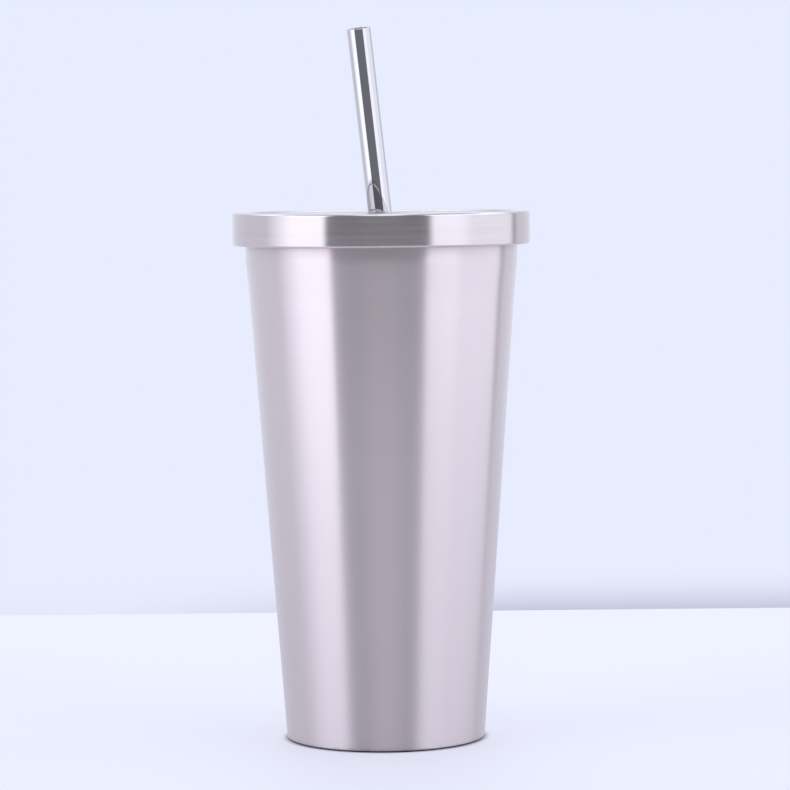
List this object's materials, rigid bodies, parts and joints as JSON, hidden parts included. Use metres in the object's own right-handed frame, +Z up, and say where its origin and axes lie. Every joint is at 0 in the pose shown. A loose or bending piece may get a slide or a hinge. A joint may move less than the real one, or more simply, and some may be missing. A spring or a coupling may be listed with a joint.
{
  "type": "straw tumbler",
  "caption": "Tall tapered double-wall brushed steel drinking cup with a flat push-on steel lid and a leaning steel straw through a soft grommet in the lid's centre.",
  "frame": {"origin": "centre of the standing ring, on the cup's axis, at the height of the table", "axes": "+Z up along the cup's axis; the straw's top leans towards -X and -Y, and its foot stands in the +X +Y corner of the liner"},
  "size_m": [0.1006, 0.1006, 0.2409],
  "materials": {
    "shell_steel": "stainless steel, brushed round the axis",
    "liner_steel": "stainless steel, fine satin",
    "raw_steel": "stainless steel sheet, as pressed",
    "polished_steel": "stainless steel, mirror polished",
    "sealing_glass": "dark fused sealing glass",
    "getter_metal": "matt pressed metal powder",
    "white_plastic": "satin moulded polypropylene",
    "clear_silicone": "frosted translucent silicone"
  },
  "bodies": {
    "cup": {"outer_shell": "shell_steel", "inner_liner": "liner_steel", "vacuum_base": "raw_steel", "sealing_bead": "sealing_glass", "base_cover": "liner_steel", "getter_pellet": "getter_metal", "getter_strap": "raw_steel"},
    "lid": {"lid_cover": "shell_steel", "lid_plug": "white_plastic", "lid_seal": "clear_silicone"},
    "grommet": {"straw_grommet": "clear_silicone"},
    "straw": {"drinking_straw": "polished_steel"}
  },
  "joints": [
    {"name": "lid_lift", "type": "slide", "parent": "cup", "child": "lid", "axis": [0, 0, 1], "range_m": [0, 0.2]},
    {"name": "straw_sweep", "type": "hinge", "parent": "lid", "child": "grommet", "pos_m": [0, 0, 0.175], "axis": [0, 0, 1], "continuous": true},
    {"name": "straw_slide", "type": "slide", "parent": "grommet", "child": "straw", "axis": [-0.1053, -0.1212, 0.987], "range_m": [0, 0.18]}
  ]
}
